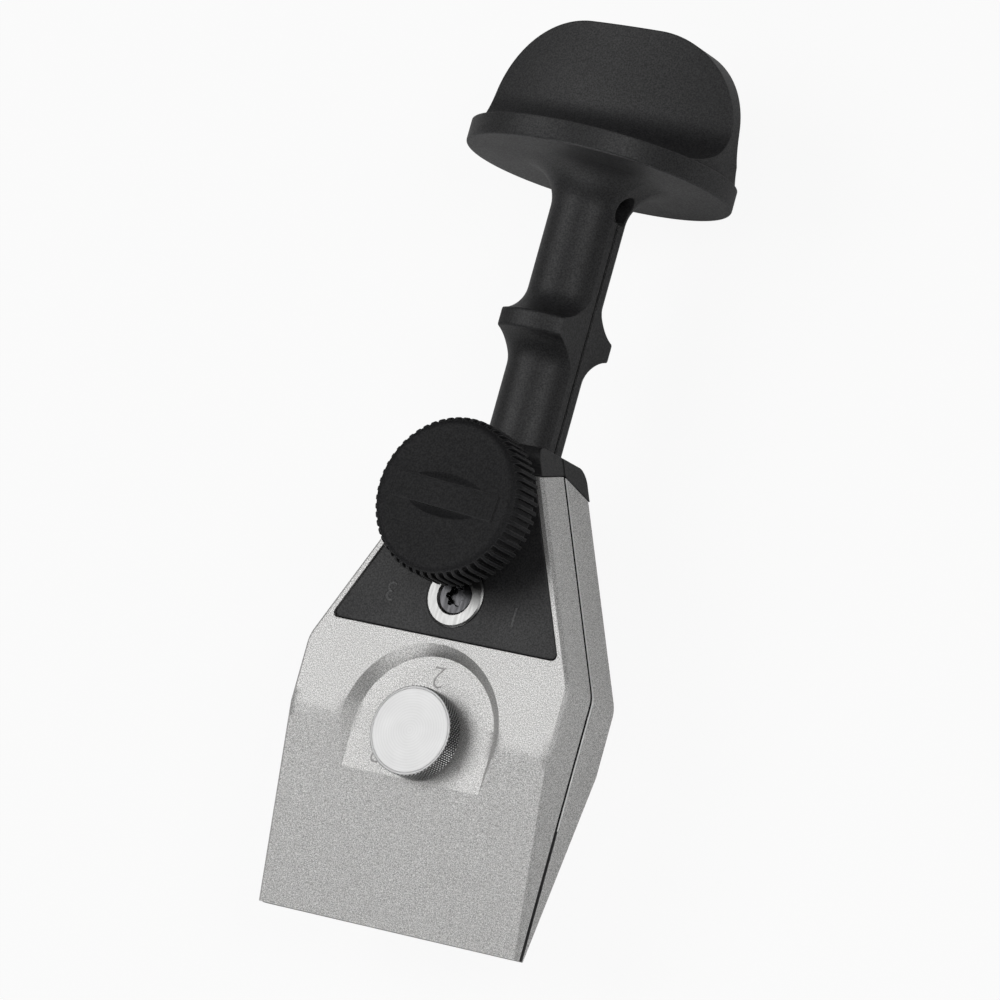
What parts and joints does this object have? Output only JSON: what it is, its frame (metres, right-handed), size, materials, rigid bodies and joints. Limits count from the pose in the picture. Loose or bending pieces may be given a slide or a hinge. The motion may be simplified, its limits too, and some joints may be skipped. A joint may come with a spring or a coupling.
{
  "type": "knife sharpening jig",
  "caption": "Self-centring clamp that holds a knife blade square for grinding: cast jaws on a split springy handle with stop disc, paddle grip, locking knob and adjusting screw.",
  "frame": {"origin": "middle of the bounding box in X and Y, at the lowest point of the stop disc's rim", "axes": "+Y along the handle from the clamping edge towards the grip, +X across the jaws, +Z out of the face with the locking knob; the mid-plane between the jaws is parallel to XY"},
  "size_m": [0.045, 0.1378, 0.0406],
  "materials": {
    "handle_composite": "fine-textured glass-filled composite, matt black",
    "cast_zinc": "bead-blasted zinc die casting, satin pale grey",
    "bright_steel": "polished",
    "screw_steel": "plain steel",
    "bush_brass": "turned",
    "knob_plastic": "moulded black plastic, fine grain",
    "turned_aluminium": "fine turned and knurled"
  },
  "bodies": {
    "handle": {"grip_head": "handle_composite"},
    "front_side": {"front_leg": "handle_composite", "front_jaw": "cast_zinc", "front_cup_washer": "bright_steel", "front_leg_screw": "screw_steel", "stud_bush": "bush_brass"},
    "rear_side": {"rear_leg": "handle_composite", "rear_jaw": "cast_zinc", "rear_cup_washer": "bright_steel", "rear_leg_screw": "screw_steel", "thrust_plate": "screw_steel", "post_nut": "screw_steel"},
    "adjuster_seat": {"adjusting_washer": "screw_steel"},
    "adjuster": {"adjusting_screw": "turned_aluminium"},
    "lock_nose": {"thrust_nose": "screw_steel"},
    "lock": {"locking_stud": "screw_steel", "locking_knob": "knob_plastic"}
  },
  "joints": [
    {"name": "front_open", "type": "hinge", "parent": "handle", "child": "front_side", "pos_m": [0, 0.0421, 0.0203], "axis": [-1, 0, 0], "range_deg": [0, 2.35]},
    {"name": "rear_open", "type": "hinge", "parent": "handle", "child": "rear_side", "pos_m": [0, 0.0421, 0.0203], "axis": [1, 0, 0], "range_deg": [0, 2.35]},
    {"name": "adjuster_lift", "type": "slide", "parent": "handle", "child": "adjuster_seat", "axis": [0, 0, 1], "range_m": [0, 0.00361]},
    {"name": "adjuster_turn", "type": "hinge", "parent": "adjuster_seat", "child": "adjuster", "pos_m": [0, -0.0407, 0.0203], "axis": [0, 0, 1], "range_deg": [0, 2522.5]},
    {"name": "lock_slide", "type": "slide", "parent": "front_side", "child": "lock_nose", "axis": [0, 0, 1], "range_m": [0, 0.00301]},
    {"name": "lock_turn", "type": "hinge", "parent": "lock_nose", "child": "lock", "pos_m": [0, -0.0073, 0.0203], "axis": [0, 0, 1], "range_deg": [0, 864]}
  ],
  "couplings": [
    {"joint": "rear_open", "follows": "front_open", "ratio": 1},
    {"joint": "adjuster_lift", "follows": "front_open", "m_per_rad": 0.0878},
    {"joint": "adjuster_turn", "follows": "front_open", "ratio": 1071.9},
    {"joint": "lock_slide", "follows": "lock_turn", "m_per_rad": 0.00019894}
  ]
}
